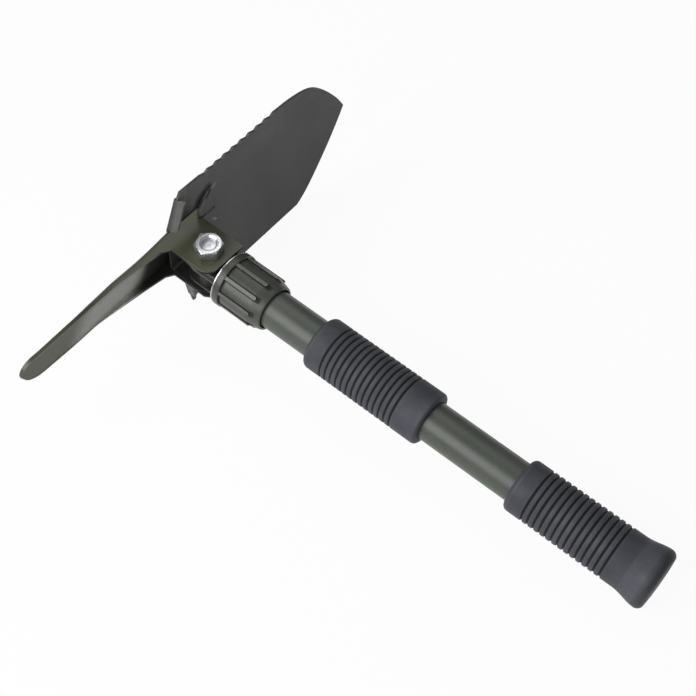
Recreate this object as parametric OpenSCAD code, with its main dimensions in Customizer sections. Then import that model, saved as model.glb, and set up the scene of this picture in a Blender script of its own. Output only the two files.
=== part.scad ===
// Folding camp shovel with a saw-edged blade, a pick and a screwed lock collar.
// Millimetres. The origin is the centre of the butt face. X runs along the
// handle to the head, Z runs along the pivot bolt to the nut, the pick points
// to +Y and the blade to -Y.

/* [Display] */
// sub-part to show, or all of them

/* [Handle tube] */
// length from the butt face to the pivot bolt
handle_length = 266; // [220:1:360]
// outside diameter of the tube
tube_diameter = 20.5; // [18:0.5:24]
// wall of the tube
tube_wall = 1.2; // [0.8:0.1:2]

/* [Middle grip] */
// distance from the pivot to the front end of the middle grip
middle_grip_start = 71.6; // [64:0.5:90]
// length of the middle grip
middle_grip_length = 68; // [60:1:90]
// outside diameter of the middle grip
middle_grip_diameter = 28.2; // [26:0.2:29]
// distance from its front end to the first groove
middle_band = 11; // [6:0.5:16]

/* [End grip] */
// distance from the pivot to the front end of the end grip
end_grip_start = 190; // [165:1:200]
// outside diameter of the end grip
end_grip_diameter = 27.3; // [25:0.1:28]
// distance from its front end to the first groove
end_band = 10.6; // [6:0.2:14]
// diameter of the flared butt
butt_diameter = 30.9; // [29:0.1:36]
// length of the flare before the butt
flare_length = 16; // [10:0.5:20]
// rounding of the edge at the butt
butt_rounding = 3.6; // [1:0.1:4]
// solid rubber behind the end of the tube
butt_wall = 4; // [2:0.5:8]

/* [Grip grooves] */
// grooves in each grip
groove_count = 14; // [6:1:15]
// distance from one groove to the next
groove_pitch = 3.25; // [2.6:0.05:3.4]
// width of a groove
groove_width = 1.1; // [0.6:0.1:1.6]
// depth of a groove
groove_depth = 0.9; // [0.3:0.1:1.4]
// rounding at the open ends of the grips
grip_rounding = 2.6; // [1:0.1:3]

/* [Pivot] */
// diameter of the pivot bolt
bolt_diameter = 8; // [6:0.5:9]
// width across the flats of the nut and the bolt head
hex_across_flats = 13; // [12:0.5:15]
// thickness of the nut
nut_thickness = 5.8; // [4:0.1:7]
// thickness of the bolt head
bolt_head_thickness = 5.3; // [4:0.1:7]
// depth of the bolt end below the face of the nut
bolt_end_recess = 1.2; // [0:0.1:2]
// outside diameter of the spacer sleeve
sleeve_diameter = 14; // [12:0.5:16]

/* [Fork] */
// width of the slot between the two tines
fork_slot = 8.9; // [7:0.1:9.4]
// thickness of a tine
tine_thickness = 3.5; // [2.6:0.1:3.6]
// radius of the rounded end of the tines
tine_radius = 10.9; // [9:0.1:11]
// diameter of the threaded barrel
barrel_diameter = 24.4; // [23.6:0.1:24.8]
// length of the threaded barrel
barrel_length = 13.4; // [10:0.2:15]
// pitch of the thread
thread_pitch = 2; // [1.5:0.25:2.5]
// length of the spigot inside the tube
spigot_length = 30; // [18:1:40]
// bore through the spigot
spigot_bore = 12; // [8:0.5:14]
// diameter of the cross pins
pin_diameter = 3; // [2:0.5:4]

/* [Lock collar] */
// distance from the pivot to the front face of the collar
collar_front = 13.4; // [13.4:0.1:14.5]
// distance from the pivot to the rear end of the collar
collar_rear = 42.8; // [40:0.2:48]
// diameter of the front band
collar_diameter = 30; // [29:0.1:31]
// diameter of the collar between its ribs
collar_body_diameter = 28; // [27.4:0.1:28.6]
// diameter of the rear end
collar_rear_diameter = 24.6; // [24:0.1:26]
// thickness of the bare steel ring
ring_thickness = 0.9; // [0.6:0.1:1.5]
// width of the front band
collar_band = 4.4; // [3:0.1:6]
// number of ribs
rib_count = 10; // [6:1:14]
// width of a rib
rib_width = 1.9; // [1:0.1:3]
// height of a rib above the collar
rib_height = 0.65; // [0.3:0.05:0.9]
// distance from the rear end of the ribs to the rear end of the collar
rib_rear_gap = 5.2; // [4:0.1:8]
// length of the tapered rear end
collar_taper = 6.4; // [4:0.1:9]

/* [Sheet metal] */
// thickness of the blade sheet
blade_sheet = 1.2; // [0.8:0.1:1.4]
// thickness of the pick sheet
pick_sheet = 1.8; // [1.2:0.1:2.2]

/* [Blade] */
// distance from the pivot to the face of the blade
blade_offset = 17.2; // [17:0.1:17.6]
// radius of the dish across the blade
dish_radius = 515; // [300:5:900]
// reach of the blade tip beyond the pivot
blade_reach = 126.9; // [110:0.5:150]
// width of the blank, before the saw side is cut in
blade_width = 92.8; // [80:0.2:100]
// straight sides end at this distance from the pivot
side_end = 88.5; // [75:0.5:96]
// how far the corner between side and tip is rounded back on the saw side
saw_corner = 14; // [2:0.5:16]
// how far that corner is rounded back on the plain side
plain_corner = 3; // [1:0.5:16]
// width across the corners of the shoulders
shoulder_width = 94; // [86:0.2:100]
// setback of the shoulder corner on the saw side
saw_shoulder_setback = 1.3; // [0:0.1:6]
// setback of the inner end of that shoulder
saw_shoulder_root = 10.6; // [6:0.1:12]
// setback of the shoulder corner on the plain side
plain_shoulder_setback = 0.2; // [0:0.1:6]
// setback of the inner end of that shoulder
plain_shoulder_root = 3.8; // [1:0.1:12]
// distance from the middle to the inner edge of a shoulder
shoulder_inner = 20.7; // [18:0.1:23]
// height of the tread on each shoulder
tread_height = 4.6; // [2:0.1:6]
// length of the tread on each shoulder
tread_length = 19; // [10:0.5:22]
// depth of the cut-out beside the neck
notch_depth = 11; // [9:0.1:14]
// width of the narrow slit that ends the cut-out
slit_width = 1.5; // [0.8:0.1:2]
// length of that slit
slit_length = 12; // [8:0.5:14]
// radius of the ears round the bolt
blade_ear_radius = 12; // [11:0.1:12.6]

/* [Saw edge] */
// number of teeth
tooth_count = 10; // [4:1:11]
// distance from one tooth to the next
tooth_pitch = 6.03; // [4:0.01:6.2]
// depth of a tooth
tooth_depth = 1.6; // [0.8:0.1:2.5]
// how far the peaks stand inside the blank
saw_inset = 2.2; // [0.5:0.1:4]
// how far the plain edge beyond the saw stands inside the peaks
saw_relief = 0.8; // [0:0.1:1.5]
// distance from the pivot to the first peak
first_tooth = 12.6; // [10:0.1:18]

/* [Pick] */
// distance from the pivot to the back of the pick
pick_offset = 23.2; // [23.1:0.1:25]
// reach of the pick beyond the pivot
pick_reach = 107.4; // [95:0.5:125]
// end of the side walls along the pick
wall_end = 52; // [40:1:64]
// height of the side walls at the root
wall_height = 6.9; // [5:0.1:7]
// half the width of the pick where its tip begins to round
tip_half_width = 8; // [6:0.1:9]
// length of the rounded tip
tip_length = 11; // [8:0.5:16]
// edge of the ears on the blade side
ear_blade_edge = 12.9; // [11:0.1:13.4]
// edge of the ears on the pick side
ear_pick_edge = 11.9; // [11:0.1:12.3]
// edge of the ears on the handle side
ear_front_edge = 10.9; // [9:0.1:11.4]
// widening of the ears where they meet the back of the pick
ear_flare = 3.6; // [1:0.1:4]

/* [Hidden] */
// smoothness of round parts
$fn = 96;
// overlap that keeps cuts clean
eps = 0.01;
// radial clearance of the bolt in its holes
bolt_fit = 0.08;
// gap between flat faces that slide on each other
side_gap = 0.1;
// radial gap between parts that are pressed together
press_fit = 0.05;
// radial gap between the barrel and the collar
thread_fit = 0.1;
// gap between the ears and the front of the collar while the head turns
sweep_gap = 0.2;

tube_radius = tube_diameter / 2;
tube_bore_radius = tube_radius - tube_wall;
bolt_radius = bolt_diameter / 2;
hole_radius = bolt_radius + bolt_fit;
hex_radius = hex_across_flats / 2 / cos(30);
// layers outward from the middle of the handle
tine_inner = fork_slot / 2;
tine_outer = tine_inner + tine_thickness;
blade_ear_inner = tine_outer + side_gap;
blade_ear_outer = blade_ear_inner + blade_sheet;
pick_ear_inner = blade_ear_outer + side_gap;
pick_ear_outer = pick_ear_inner + pick_sheet;
nut_seat = pick_ear_outer + side_gap;
// the barrel starts just inside the mouth of the collar
barrel_front = collar_front + sweep_gap;
barrel_radius = barrel_diameter / 2;
collar_bore_radius = barrel_radius + thread_fit;
barrel_rear = barrel_front + barrel_length;
tube_front = barrel_rear + side_gap;
tube_rear = handle_length - butt_wall - side_gap;
sweep_radius = collar_front - sweep_gap;
thread_depth = thread_pitch * 0.3;
thread_start = thread_pitch * 0.75;
// closed length of the barrel before the bore
barrel_face = 2;
pin_position = tube_front + pin_diameter * 2;
rib_end_radius = rib_width / 2;
// the widening of the ears starts this far before the back of the pick, and is full this far before it
ear_flare_start = 5.6;
ear_flare_full = 1.6;
// blade
blade_back = blade_offset + blade_sheet;
slot_inner = blade_ear_outer;
slot_outer = pick_ear_outer + 2 * side_gap;
neck_setback = sqrt(pow(pick_offset - pick_sheet - sweep_gap, 2) - pow(blade_back, 2));
corner_reach = sqrt(pow(pick_offset, 2) + pow(ear_blade_edge + ear_flare, 2));
slot_end = sqrt(pow(corner_reach + sweep_gap, 2) - pow(blade_offset, 2));
// turn of the slit away from the handle
slit_angle = 135;
half_width = blade_width / 2;
// distance from the inner edge of a shoulder to its tread
tread_inset = 2;
// length of the last tooth that is its long slope
tooth_slope_share = 0.68;
last_tooth = first_tooth + (tooth_count - 1) * tooth_pitch;
// share of the taper of the tip that is straight
tip_straight_share = 0.62;
// sharpness of the rounded corners between the sides and the tip
corner_power = 16;
tip_steps = 24;
arc_steps = 12;
// free edge of the side walls at the root of the pick
wall_top = pick_offset - wall_height;
// the edge of the ears slopes over this length, and by this height, into the side walls
wall_blend_length = 4;
wall_blend_height = 1.9;
// the side walls bend once, at these shares of their length and height
wall_bend_length = 0.54;
wall_bend_height = 0.36;
// the ears meet the swept circle at this height
front_turn = sqrt(pow(sweep_radius, 2) - pow(ear_pick_edge, 2));
// width of the pick along its length, as [distance from the pivot, share of the full width]
pick_widths = [[-2 * ear_blade_edge, 1], [0.27 * pick_reach, 1], [0.42 * pick_reach, 0.98],
               [0.58 * pick_reach, 0.88], [0.70 * pick_reach, 0.80]];
// end of the bolt above the nut seat
shank_above = nut_seat + nut_thickness - bolt_end_recess;
// depth of the countersink of the nut
countersink = 0.7;
// turn of the nut and the bolt head round the bolt
hex_turn = 43;
// collar
ring_rear = collar_front + ring_thickness;
collar_thread_rear = barrel_rear + 1;
collar_rear_gap = 0.8;
// the ring stands this far inside the front band
ring_inset = 0.1;
// the ribs start this far inside the front band, and this far below the surface of the collar
rib_overlap = 0.5;
rib_root = 0.9;
taper_start = collar_rear - collar_taper;
rib_front = collar_front + collar_band - rib_overlap;
rib_rear = collar_rear - rib_rear_gap;
// turn of the ribs round the handle
rib_turn = 3.3;
flare_start = handle_length - flare_length;

// places a part drawn with the pivot at the origin, x toward the head
module at_pivot() {
    translate([handle_length, 0, 0]) children();
}

// stands a drawing of the head, seen along the bolt, up to the given heights
module layer(from, to) {
    translate([0, 0, from]) linear_extrude(to - from) children();
}

// turns a drawing in width and reach so that it is extruded along the handle
module across(from, to) {
    translate([from, 0, 0]) rotate([90, 0, 90]) linear_extrude(to - from) children();
}

// a solid of revolution round the handle, drawn as [distance from the pivot, radius]
module round_handle() {
    rotate([0, -90, 0]) rotate_extrude() children();
}

module ring_of(from, to, outer, inner) {
    round_handle() translate([inner, from]) square([outer - inner, to - from]);
}

// ---------- blade ----------

// the saw side is 1 and the plain side is -1: setbacks of a shoulder, its corner and the side beside it
function shoulder_root(side) = side > 0 ? saw_shoulder_root : plain_shoulder_root;
function shoulder_setback(side) = side > 0 ? saw_shoulder_setback : plain_shoulder_setback;
function shoulder_corner(side) = shoulder_width / 2 - (side > 0 ? saw_inset : 0);
function side_width(side) = half_width - (side > 0 ? saw_inset : 0);
function tip_width(side) = side_width(side) - (side > 0 ? saw_relief : 0);

// slope of the back edge of a shoulder
function shoulder_slope(side) = atan2(shoulder_root(side) - shoulder_setback(side),
                                      shoulder_corner(side) - shoulder_inner - tread_inset);

// outline of one half of the blade tip, from the side to the middle, with its corner rounded back
function tip_points(side) = [for (i = [0 : tip_steps])
    let (b = tip_width(side) * cos(90 * i / tip_steps),
         k = b / half_width,
         taper = tip_straight_share * k + (1 - tip_straight_share) * k * k,
         corner = (side > 0 ? saw_corner : plain_corner) * pow(b / tip_width(side), corner_power))
    [-blade_reach + (blade_reach - side_end) * taper + corner, side * b]];

// point on the sloping edge of a shoulder, at a distance from its inner end
function shoulder_edge_point(side, distance) =
    [shoulder_root(side) - distance * sin(shoulder_slope(side)),
     side * (shoulder_inner + tread_inset + distance * cos(shoulder_slope(side)))];

// one half of the blade: shoulder, straight side and half of the tip
module blade_half(side) {
    polygon(concat(
        [[-notch_depth, 0],
         [-notch_depth, side * shoulder_inner],
         [shoulder_root(side), side * shoulder_inner],
         shoulder_edge_point(side, 0),
         shoulder_edge_point(side, tread_length),
         [shoulder_setback(side), side * shoulder_corner(side)],
         [-first_tooth, side * side_width(side)],
         [-last_tooth, side * side_width(side)]],
        tip_points(side)));
}

// gap from one peak to the next: a long slope toward the tip, then a short rise
module tooth_gap(peak) {
    top = side_width(1);
    polygon([[-peak, top], [-peak - tooth_pitch * tooth_slope_share, top - tooth_depth],
             [-peak - tooth_pitch, top], [-peak - tooth_pitch / 2, top + shoulder_width]]);
}

module blade_outline() {
    difference() {
        union() {
            blade_half(1);
            blade_half(-1);
            // neck between the two cut-outs
            translate([-slot_end, -blade_ear_outer])
                square([slot_end + neck_setback, 2 * blade_ear_outer]);
        }
        for (i = [0 : tooth_count - 2]) tooth_gap(first_tooth + i * tooth_pitch);
        for (side = [-1, 1]) {
            // gap for the ears of the pick
            translate([-slot_end, side > 0 ? slot_inner : -slot_outer])
                square([slot_end + shoulder_root(1), slot_outer - slot_inner]);
            // slit that runs outward from the cut-out
            translate([-notch_depth, side * (shoulder_inner - slit_width / 2)])
                rotate(side * slit_angle) translate([0, -slit_width / 2]) square([slit_length, slit_width]);
        }
    }
}

module dished_sheet() {
    intersection() {
        across(0, 2 * blade_back) blade_outline();
        translate([blade_offset - dish_radius, blade_reach, 0]) rotate([90, 180, 0])
            difference() {
                cylinder(r = dish_radius + blade_sheet, h = 3 * blade_reach, $fn = 360);
                translate([0, 0, -1]) cylinder(r = dish_radius, h = 3 * blade_reach + 2, $fn = 360);
            }
    }
}

// one ear of the blade, seen along the bolt
module blade_ear_shape() {
    difference() {
        union() {
            circle(r = blade_ear_radius);
            polygon([[0, -blade_ear_radius], [blade_back, -blade_ear_radius],
                     [blade_back, neck_setback], [0, blade_ear_radius]]);
        }
        circle(r = hole_radius);
    }
}

// strip bent forward along the sloping edge of a shoulder
module tread(side) {
    start = shoulder_edge_point(side, 0);
    end = shoulder_edge_point(side, tread_length);
    inward = [-cos(shoulder_slope(side)), -side * sin(shoulder_slope(side))] * blade_sheet;
    across(blade_offset - tread_height, blade_offset + blade_sheet / 2)
        polygon([start, end, end + inward, start + inward]);
}

module blade() {
    color([0.28, 0.29, 0.27]) at_pivot() union() {
        dished_sheet();
        for (side = [-1, 1]) {
            layer(side > 0 ? blade_ear_inner : -blade_ear_outer, side > 0 ? blade_ear_outer : -blade_ear_inner)
                blade_ear_shape();
            tread(side);
        }
    }
}

// ---------- pick ----------

// ear, back and side wall of the pick, seen along the bolt
module pick_profile() {
    difference() {
        union() {
            // ears
            polygon([[-ear_front_edge, -ear_blade_edge], [pick_offset - ear_flare_start, -ear_blade_edge],
                     [pick_offset - ear_flare_full, -ear_blade_edge - ear_flare],
                     [pick_offset, -ear_blade_edge - ear_flare],
                     [pick_offset, ear_pick_edge + wall_blend_length], [wall_top, ear_pick_edge + wall_blend_length],
                     [wall_top - wall_blend_height, ear_pick_edge], [-ear_front_edge, ear_pick_edge]]);
            // side walls, which run out along the pick
            polygon([[pick_offset, ear_pick_edge], [pick_offset, pick_reach + 1],
                     [pick_offset - pick_sheet, pick_reach + 1], [pick_offset - pick_sheet, wall_end],
                     [wall_top + wall_height * wall_bend_height, wall_end * wall_bend_length],
                     [wall_top, ear_pick_edge + wall_blend_length / 4]]);
        }
        circle(r = hole_radius);
        // rounded corner that passes the collar while the head turns
        difference() {
            translate([-2 * sweep_radius, 0]) square(2 * sweep_radius);
            circle(r = sweep_radius);
        }
    }
}

// the pick seen from the end of the handle
module pick_plan(inset) {
    polygon(concat(
        [for (q = pick_widths) [q[0], pick_ear_outer * q[1] - inset]],
        pick_tip(1, inset),
        pick_tip(-1, inset),
        [for (i = [len(pick_widths) - 1 : -1 : 0]) [pick_widths[i][0], inset - pick_ear_outer * pick_widths[i][1]]]));
}

function pick_tip(side, inset) = [for (i = [0 : arc_steps])
    let (a = side > 0 ? 90 * i / arc_steps : 90 - 90 * i / arc_steps)
    [pick_reach - tip_length + (tip_length - inset) * sin(a), side * (tip_half_width - inset) * cos(a)]];

module pick() {
    color([0.30, 0.31, 0.24]) at_pivot() difference() {
        intersection() {
            layer(-pick_ear_outer, pick_ear_outer) pick_profile();
            across(-handle_length, pick_offset) pick_plan(0);
        }
        across(-handle_length, pick_offset - pick_sheet) intersection() {
            pick_plan(pick_sheet);
            translate([-2 * pick_reach, -pick_ear_inner]) square([4 * pick_reach, 2 * pick_ear_inner]);
        }
    }
}

// ---------- pivot ----------

module hexagon() {
    circle(r = hex_radius, $fn = 6);
}

module pivot_bolt() {
    color([0.72, 0.73, 0.75]) at_pivot() union() {
        translate([0, 0, -nut_seat - eps]) cylinder(r = bolt_radius, h = nut_seat + shank_above + eps);
        layer(-nut_seat - bolt_head_thickness, -nut_seat) rotate(hex_turn) hexagon();
    }
}

module pivot_nut() {
    color([0.78, 0.79, 0.81]) at_pivot() difference() {
        layer(nut_seat, nut_seat + nut_thickness) rotate(hex_turn) hexagon();
        translate([0, 0, nut_seat - 1]) cylinder(r = bolt_radius + press_fit, h = nut_thickness + 2);
        // countersink round the thread
        translate([0, 0, nut_seat + nut_thickness - countersink])
            cylinder(r1 = bolt_radius + press_fit, r2 = bolt_radius + press_fit + countersink, h = countersink + eps);
    }
}

module spacer_sleeve() {
    color([0.62, 0.63, 0.64]) at_pivot() difference() {
        layer(-tine_inner + press_fit, tine_inner - press_fit) circle(r = sleeve_diameter / 2);
        translate([0, 0, -fork_slot]) cylinder(r = hole_radius, h = 2 * fork_slot);
    }
}

// ---------- fork ----------

// barrel and spigot, drawn as [radius, distance from the pivot]
module barrel_shape() {
    grooves = floor((barrel_length - 1) / thread_pitch);
    difference() {
        union() {
            translate([0, barrel_front]) square([barrel_radius, barrel_length]);
            translate([0, barrel_rear - eps]) square([tube_bore_radius - press_fit, spigot_length]);
        }
        translate([0, barrel_front + barrel_face]) square([spigot_bore / 2, barrel_length + spigot_length]);
        for (i = [0 : grooves - 1])
            translate([barrel_radius, barrel_front + thread_start + thread_pitch * i])
                polygon([[eps, -thread_depth], [-thread_depth, 0], [eps, thread_depth]]);
    }
}

module pivot_fork() {
    color([0.33, 0.34, 0.33]) at_pivot() difference() {
        union() {
            round_handle() barrel_shape();
            // the tines are cut from the same round bar as the barrel
            intersection() {
                layer(-tine_outer, tine_outer) {
                    circle(r = tine_radius);
                    translate([-barrel_front - 1, -tine_radius]) square([barrel_front + 1, 2 * tine_radius]);
                }
                ring_of(-tine_radius - 1, barrel_rear, barrel_radius, 0);
            }
        }
        // slot between the tines
        layer(-tine_inner, tine_inner)
            translate([-barrel_front + 1, -tine_radius - 1]) square([barrel_front + tine_radius, 2 * tine_radius + 2]);
        translate([0, 0, -2 * tine_outer]) cylinder(r = hole_radius, h = 4 * tine_outer);
        pin_bores(pin_diameter / 2 + press_fit);
    }
}

module pin_bores(radius) {
    for (a = [0, 90]) translate([-pin_position, 0, 0]) rotate([90 + a, 0, 0])
        cylinder(r = radius, h = 3 * tube_radius, center = true);
}

module fork_pins() {
    color([0.60, 0.61, 0.62]) at_pivot() intersection() {
        pin_bores(pin_diameter / 2);
        ring_of(tube_front, barrel_rear + spigot_length, tube_radius - press_fit, spigot_bore / 2 - 1);
    }
}

// ---------- lock collar ----------

module collar_ring() {
    color([0.80, 0.81, 0.80]) at_pivot()
        ring_of(collar_front, collar_front + ring_thickness, collar_diameter / 2 - ring_inset, collar_bore_radius);
}

// section of the collar, drawn as [radius, distance from the pivot]
module collar_shape() {
    difference() {
        polygon([[0, ring_rear], [collar_diameter / 2, ring_rear], [collar_diameter / 2, collar_front + collar_band],
                 [collar_body_diameter / 2, collar_front + collar_band], [collar_body_diameter / 2, taper_start],
                 [collar_rear_diameter / 2, collar_rear], [0, collar_rear]]);
        translate([-1, 0]) square([1 + collar_bore_radius, collar_thread_rear]);
        translate([-1, 0]) square([1 + tube_radius + collar_rear_gap, 2 * collar_rear]);
    }
}

module collar_rib() {
    layer(collar_body_diameter / 2 - rib_root, collar_body_diameter / 2 + rib_height) {
        translate([-rib_rear + rib_end_radius, 0]) circle(r = rib_end_radius);
        translate([-rib_rear + rib_end_radius, -rib_width / 2])
            square([rib_rear - rib_end_radius - rib_front, rib_width]);
    }
}

module lock_collar() {
    color([0.34, 0.35, 0.31]) at_pivot() difference() {
        union() {
            round_handle() collar_shape();
            for (i = [0 : rib_count - 1]) rotate([i * 360 / rib_count + rib_turn, 0, 0]) collar_rib();
        }
        ring_of(0, collar_thread_rear, collar_bore_radius, 0);
        ring_of(0, 2 * collar_rear, tube_radius + collar_rear_gap, 0);
    }
}

// ---------- handle ----------

module handle_tube() {
    color([0.31, 0.33, 0.28]) at_pivot() difference() {
        ring_of(tube_front, tube_rear, tube_radius, tube_bore_radius);
        pin_bores(pin_diameter / 2 + press_fit);
    }
}

// square grooves round a grip
module grip_grooves(first, radius) {
    for (i = [0 : groove_count - 1])
        translate([radius - groove_depth, first + i * groove_pitch - groove_width / 2])
            square([groove_depth + 1, groove_width]);
}

// quarter round for an open end of a grip, facing the pivot or the butt
module end_round(radius, position, toward_butt) {
    translate([radius - grip_rounding, position]) mirror([0, toward_butt ? 0 : 1]) difference() {
        translate([0, -grip_rounding]) square([grip_rounding + 1, grip_rounding + 1]);
        translate([0, -grip_rounding]) circle(r = grip_rounding);
    }
}

module middle_grip() {
    radius = middle_grip_diameter / 2;
    color([0.23, 0.24, 0.27]) at_pivot() round_handle() difference() {
        translate([tube_radius + press_fit, middle_grip_start])
            square([radius - tube_radius - press_fit, middle_grip_length]);
        grip_grooves(middle_grip_start + middle_band, radius);
        end_round(radius, middle_grip_start + middle_grip_length, true);
        end_round(radius, middle_grip_start, false);
    }
}

// outline of the flare, drawn as [radius, distance from the pivot]
function flare_points() = [for (i = [0 : arc_steps])
    let (k = i / arc_steps)
    [end_grip_diameter / 2 + (butt_diameter - end_grip_diameter) / 2 * (1 - cos(180 * k)) / 2,
     flare_start + (handle_length - butt_rounding - flare_start) * k]];

function butt_points() = [for (i = [0 : arc_steps])
    let (a = 90 * i / arc_steps)
    [butt_diameter / 2 - butt_rounding + butt_rounding * cos(a),
     handle_length - butt_rounding + butt_rounding * sin(a)]];

module end_grip() {
    radius = end_grip_diameter / 2;
    color([0.23, 0.24, 0.27]) at_pivot() round_handle() difference() {
        polygon(concat([[0, end_grip_start], [radius, end_grip_start]], flare_points(), butt_points(),
                       [[0, handle_length]]));
        translate([-1, 0]) square([1 + tube_radius + press_fit, handle_length - butt_wall]);
        grip_grooves(end_grip_start + end_band, radius);
        end_round(radius, end_grip_start, false);
    }
}

blade();
pick();
pivot_bolt();
pivot_nut();
spacer_sleeve();
pivot_fork();
fork_pins();
collar_ring();
lock_collar();
handle_tube();
middle_grip();
end_grip();
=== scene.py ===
from math import acos, atan2, cos, degrees, hypot, pi, radians, sin, sqrt, tan, tau

import bmesh
import bpy
from mathutils import Matrix, Vector


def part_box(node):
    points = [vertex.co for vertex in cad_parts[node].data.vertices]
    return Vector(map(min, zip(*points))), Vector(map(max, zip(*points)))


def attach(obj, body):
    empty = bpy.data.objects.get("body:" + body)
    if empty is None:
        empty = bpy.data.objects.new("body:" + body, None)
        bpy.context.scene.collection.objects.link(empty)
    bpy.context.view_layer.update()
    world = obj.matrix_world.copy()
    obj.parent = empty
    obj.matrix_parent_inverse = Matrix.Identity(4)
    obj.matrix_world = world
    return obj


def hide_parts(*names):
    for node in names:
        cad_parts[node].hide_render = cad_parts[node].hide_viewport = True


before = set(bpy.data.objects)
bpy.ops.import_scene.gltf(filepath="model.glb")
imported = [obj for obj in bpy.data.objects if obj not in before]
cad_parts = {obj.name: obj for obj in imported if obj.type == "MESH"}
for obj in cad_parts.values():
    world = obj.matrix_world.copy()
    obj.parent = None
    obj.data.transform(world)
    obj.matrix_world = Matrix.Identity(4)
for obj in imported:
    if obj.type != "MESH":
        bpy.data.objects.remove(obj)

bl_info = {
    "name": "Camp shovel",
    "version": (1, 0, 0),
    "blender": (4, 5, 0),
    "location": "3D View > Sidebar > Camp shovel",
    "description": "Finish, light and camera of a folding camp shovel with a pick",
    "category": "Add Mesh",
}

MM = 0.001
EDGE_WEAR_AND_HIGHLIGHT = "edge_wear_and_highlight"
WHITE = (1.0, 1.0, 1.0, 1.0)
# in metres: vertices nearer than this are one, and vertices within this height lie in one plane
SAME = 1e-6
LEVEL = 0.1 * MM

# the pivot is the middle of the bolt, on the centre line of the handle
PIVOT = sum((Vector(v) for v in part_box("spacer_sleeve")), Vector()) / 2


def colour(name, text, default):
    """A colour that the user can change."""
    return bpy.props.FloatVectorProperty(
        name=name, description=text, default=default, size=3, min=0, max=1, subtype="COLOR")


def length(name, text, default):
    """A length in metres that the user can change."""
    return bpy.props.FloatProperty(
        name=name, description=text, default=default * MM, min=0, unit="LENGTH", precision=5)


def share(name, text, default):
    """A share from 0 to 1 that the user can change."""
    return bpy.props.FloatProperty(
        name=name, description=text, default=default, min=0, max=1, subtype="FACTOR")


class CampShovelSizes(bpy.types.PropertyGroup):
    edge_radius: length("Sheet edges", "Rounding of the cut edges of sheet metal", 0.35)
    cast_radius: length("Machined edges", "Rounding of the edges of the fork", 0.24)
    tread_fold: length("Tread fold", "Rounding of the fold of the treads", 1.05)
    tread_corner: length("Tread corners", "Rounding of the free corners of the treads", 1.9)
    tread_lean: length(
        "Tread lean", "How far the edge of the tread on the saw side leans toward the tip", 2.0)
    sheet: length("Sheet", "Thickness of the pick sheet", 1.8)
    fold_radius: length("Pick folds", "Outer radius of the folds of the pick", 3.0)
    ridge_radius: length("Grip ridges", "Rounding of the ridges of the grips", 0.5)
    rib_radius: length("Collar ribs", "Rounding of the ribs of the collar", 0.3)


class CampShovelColours(bpy.types.PropertyGroup):
    blade: colour("Blade", "Charcoal paint of the blade", (0.040, 0.042, 0.039))
    pick: colour("Pick", "Olive paint of the pick", (0.058, 0.062, 0.036))
    # the fork's paint is darkened to near black, as painted shade inside the channel
    fork: colour("Fork", "Paint of the fork", (0.018, 0.019, 0.017))
    collar: colour("Collar", "Paint of the lock collar", (0.050, 0.054, 0.044))
    tube: colour("Tube", "Olive paint of the handle tube", (0.062, 0.071, 0.058))
    rubber: colour("Grips", "Rubber of the grips", (0.041, 0.043, 0.054))
    zinc: colour("Zinc", "Plating of the nut and the bolt", (0.86, 0.88, 0.92))
    steel: colour("Bare steel", "Ring, sleeve and pins", (0.62, 0.63, 0.62))
    wear: share("Edge wear", "How far the paint is worn off along the edges", 0.35)


class CampShovelLight(bpy.types.PropertyGroup):
    key: bpy.props.FloatProperty(name="Key light", description="Large lamp beside the head",
                                 default=8.2, min=0, unit="POWER")
    top: bpy.props.FloatProperty(name="Top light", description="Lamp above the handle",
                                 default=1.5, min=0, unit="POWER")
    fill: share("Fill light", "Even light from all sides", 0.22)
    shadow: share("Shadow", "How much of the shadow stays on the white floor", 0.06)


# ---------- shader nodes ----------

def connect(tree, node, inputs):
    """Sets inputs of a node. Each is a value or another node's socket."""
    for name, value in inputs.items():
        if isinstance(value, bpy.types.NodeSocket):
            tree.links.new(value, node.inputs[name])
        else:
            node.inputs[name].default_value = value


def add(tree, kind, inputs=None, **settings):
    """Adds a node with its settings and its inputs."""
    node = tree.nodes.new(kind)
    for name, value in settings.items():
        setattr(node, name, value)
    connect(tree, node, inputs or {})
    return node


def mixed(tree, factor, a, b):
    """Mixes two colours."""
    return add(tree, "ShaderNodeMix", {0: factor, 6: a, 7: b}, data_type="RGBA").outputs[2]


def toned(tree, base, value, saturation=1.0):
    """A colour made lighter or darker, and fuller or greyer."""
    return add(tree, "ShaderNodeHueSaturation",
               {"Saturation": saturation, "Value": value, "Color": base}).outputs[0]


def shaded(tree, base, mask, value, saturation=0.9):
    """Makes a colour lighter or darker where the mask is."""
    return mixed(tree, mask, base, toned(tree, base, value, saturation))


def maths(tree, operation, a, b=0.0, clamp=False):
    """A sum, a product or another function of one or two values."""
    return add(tree, "ShaderNodeMath", {0: a, 1: b}, operation=operation, use_clamp=clamp).outputs[0]


def times(tree, value, *others):
    """The product of two or more values."""
    for other in others:
        value = maths(tree, "MULTIPLY", value, other)
    return value


def noise(tree, vector, scale, detail, roughness=0.55):
    """Soft noise from 0 to 1."""
    return add(tree, "ShaderNodeTexNoise", {"Vector": vector, "Scale": scale, "Detail": detail,
                                            "Roughness": roughness}).outputs["Fac"]


def mapped(tree, value, low, high, to_low=0.0, to_high=1.0, smooth=False):
    """Maps a range of values to another one, and keeps it inside."""
    return add(tree, "ShaderNodeMapRange",
               {"Value": value, "From Min": low, "From Max": high, "To Min": to_low, "To Max": to_high},
               clamp=True, interpolation_type="SMOOTHSTEP" if smooth else "LINEAR").outputs[0]


def ramp(tree, value, start, end, origin=0.0, smooth=False):
    """Mask that grows from 0 to 1 between two places, in millimetres from the origin."""
    return mapped(tree, value, origin + start * MM, origin + end * MM, smooth=smooth)


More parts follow.
